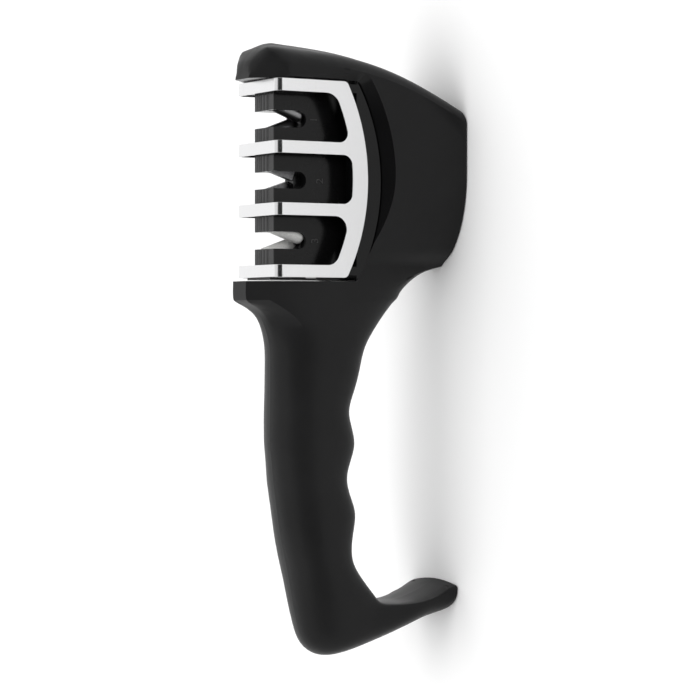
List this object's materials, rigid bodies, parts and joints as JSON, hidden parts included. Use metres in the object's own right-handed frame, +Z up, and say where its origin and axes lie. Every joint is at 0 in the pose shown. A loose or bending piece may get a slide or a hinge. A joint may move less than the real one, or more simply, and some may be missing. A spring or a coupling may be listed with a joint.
{
  "type": "pull-through knife sharpener",
  "caption": "Hand-held pull-through knife sharpener with a curved grip, a foot and a lift-out cartridge of sharpening slots under a bent steel cover.",
  "frame": {"origin": "on the table, below the middle of the overall length and on the centre plane", "axes": "+X from the foot to the head, +Y to the right side, +Z up; the base and the foot stand on z = 0"},
  "size_m": [0.2125, 0.0414, 0.08],
  "materials": {
    "housing_black": "satin moulded ABS",
    "core_black": "fine-textured ABS",
    "cover_steel": "brushed stainless",
    "sole_rubber": "matte",
    "screw_steel": "zinc plated",
    "spring_steel": "bright",
    "diamond_grit": "diamond-coated, gritty",
    "carbide": "ground tungsten carbide",
    "ceramic": "matte sintered"
  },
  "bodies": {
    "housing": {"shell_left": "housing_black", "shell_right": "housing_black", "shell_screws": "screw_steel", "base_plate": "housing_black", "base_plate_screws": "screw_steel", "base_sole": "sole_rubber", "foot_pad": "sole_rubber", "retaining_clips": "spring_steel"},
    "cartridge": {"cartridge_base": "core_black", "carrier_screws": "screw_steel", "core_left": "core_black", "core_right": "core_black", "core_pins": "spring_steel", "steel_cover": "cover_steel", "diamond_rod_left": "diamond_grit", "diamond_rod_right": "diamond_grit", "carbide_blade_left": "carbide", "carbide_blade_right": "carbide", "ceramic_rod_left": "ceramic", "ceramic_rod_right": "ceramic"}
  },
  "joints": [
    {"name": "cartridge_lift", "type": "slide", "parent": "housing", "child": "cartridge", "axis": [0, 0, 1], "range_m": [0, 0.07]}
  ]
}
